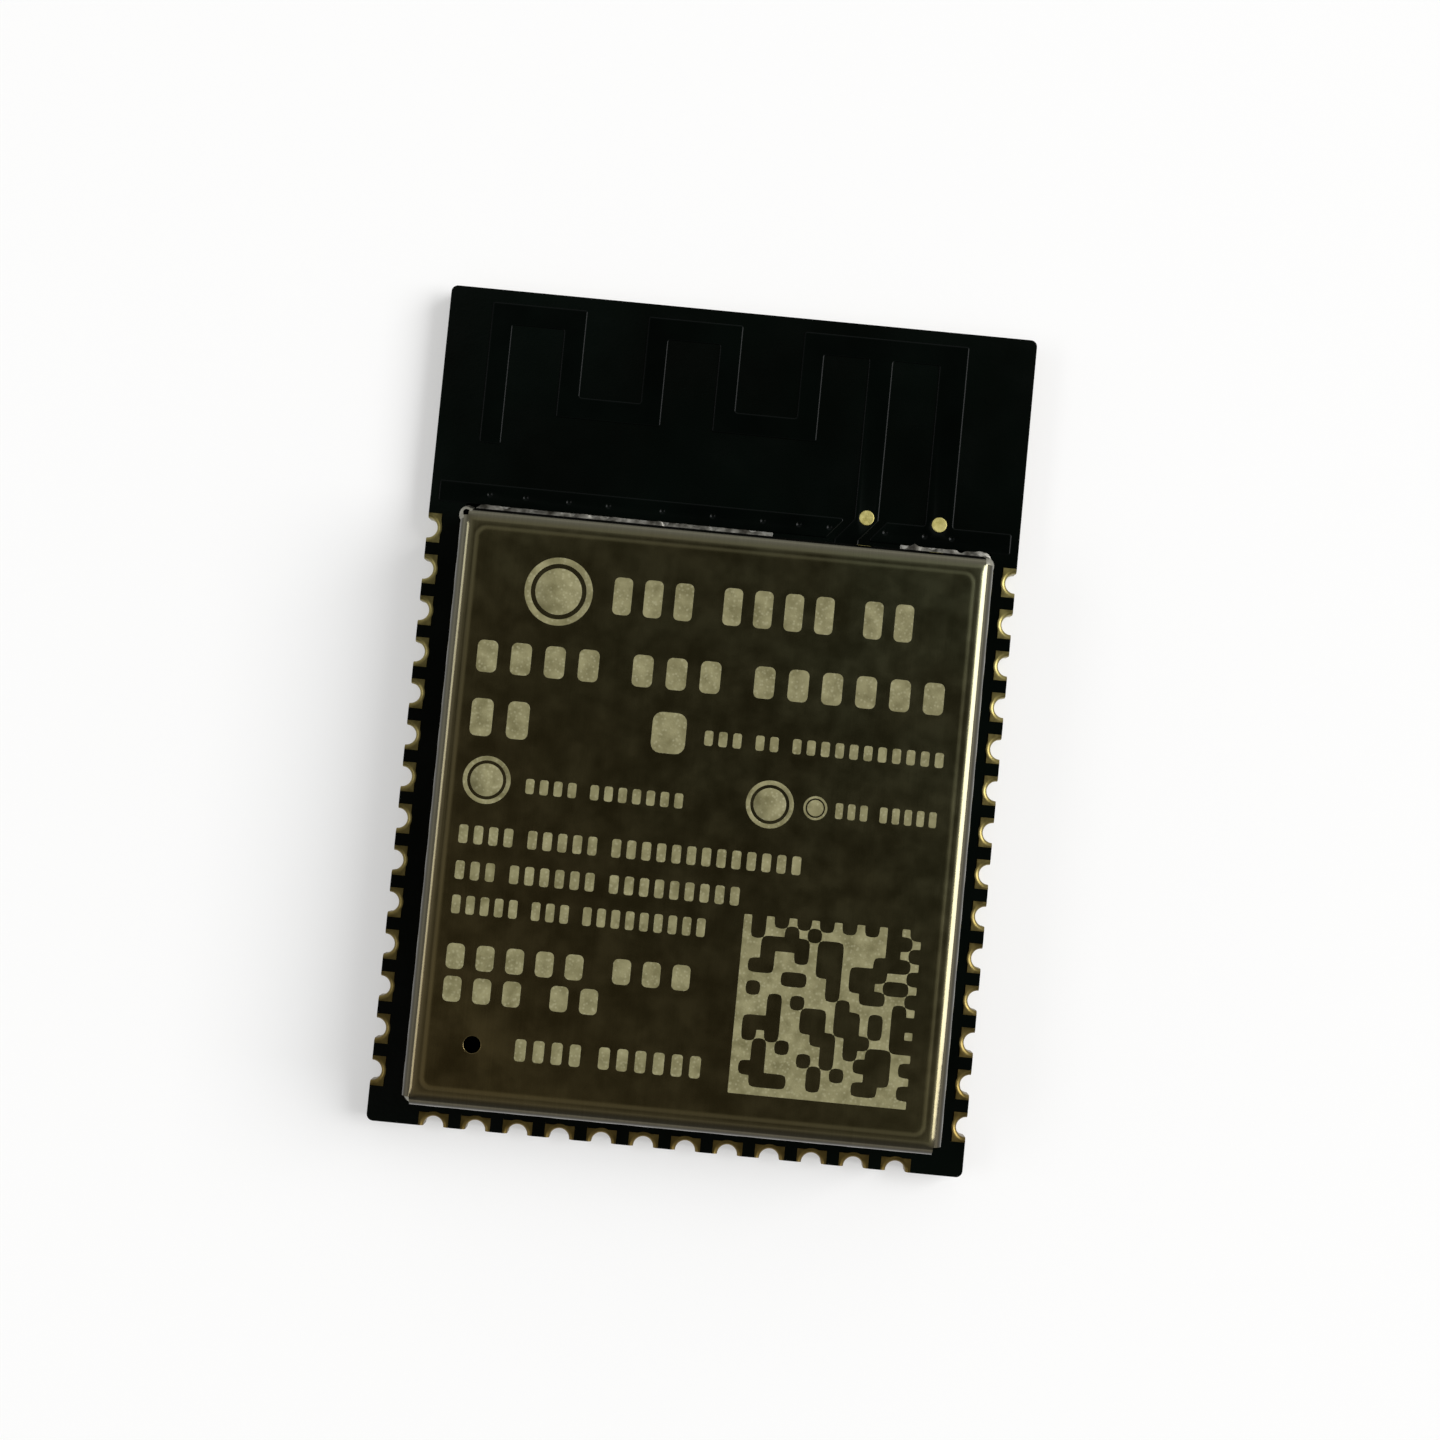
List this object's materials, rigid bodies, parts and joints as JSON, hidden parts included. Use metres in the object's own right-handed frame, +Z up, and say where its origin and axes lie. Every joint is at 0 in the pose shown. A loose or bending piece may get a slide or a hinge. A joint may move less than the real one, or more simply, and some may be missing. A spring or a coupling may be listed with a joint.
{
  "type": "wireless microcontroller module",
  "caption": "Flat black circuit module with castellated edge pads, a printed meander antenna at one end and a folded metal shield can soldered over its radio processor.",
  "frame": {"origin": "middle of the underside of the board", "axes": "+Y towards the antenna edge, +Z up out of the side that carries the can, +X to the right seen from above"},
  "size_m": [0.018, 0.0254, 0.0031],
  "materials": {
    "board_mask": "black solder mask over glass laminate, satin",
    "masked_copper": "copper print under black solder mask",
    "gold_plate": "immersion gold over nickel and copper",
    "solder": "tinned copper and reflowed solder, bright and uneven",
    "can_sheet": "rolled nickel-silver sheet, satin",
    "mould_compound": "black moulded epoxy",
    "tinned_metal": "tin plate",
    "crystal_ceramic": "fired ceramic",
    "crystal_lid_metal": "plated lid",
    "capacitor_ceramic": "fired ceramic",
    "resistor_film": "glass-coated film",
    "inductor_ferrite": "fired ferrite"
  },
  "bodies": {
    "root": {"circuit_board": "board_mask", "antenna_copper": "masked_copper", "probe_pads": "gold_plate", "left_edge_pads": "gold_plate", "right_edge_pads": "gold_plate", "bottom_edge_pads": "gold_plate", "ground_pad": "gold_plate", "can_land": "solder", "can_solder": "solder", "shield_can": "can_sheet", "processor_body": "mould_compound", "processor_leads": "tinned_metal", "memory_body": "mould_compound", "memory_leads": "tinned_metal", "crystal_base": "crystal_ceramic", "crystal_lid": "crystal_lid_metal", "crystal_pads": "gold_plate", "capacitor_bodies": "capacitor_ceramic", "capacitor_caps": "tinned_metal", "resistor_bodies": "resistor_film", "resistor_caps": "tinned_metal", "inductor_bodies": "inductor_ferrite", "inductor_caps": "tinned_metal"}
  },
  "joints": []
}
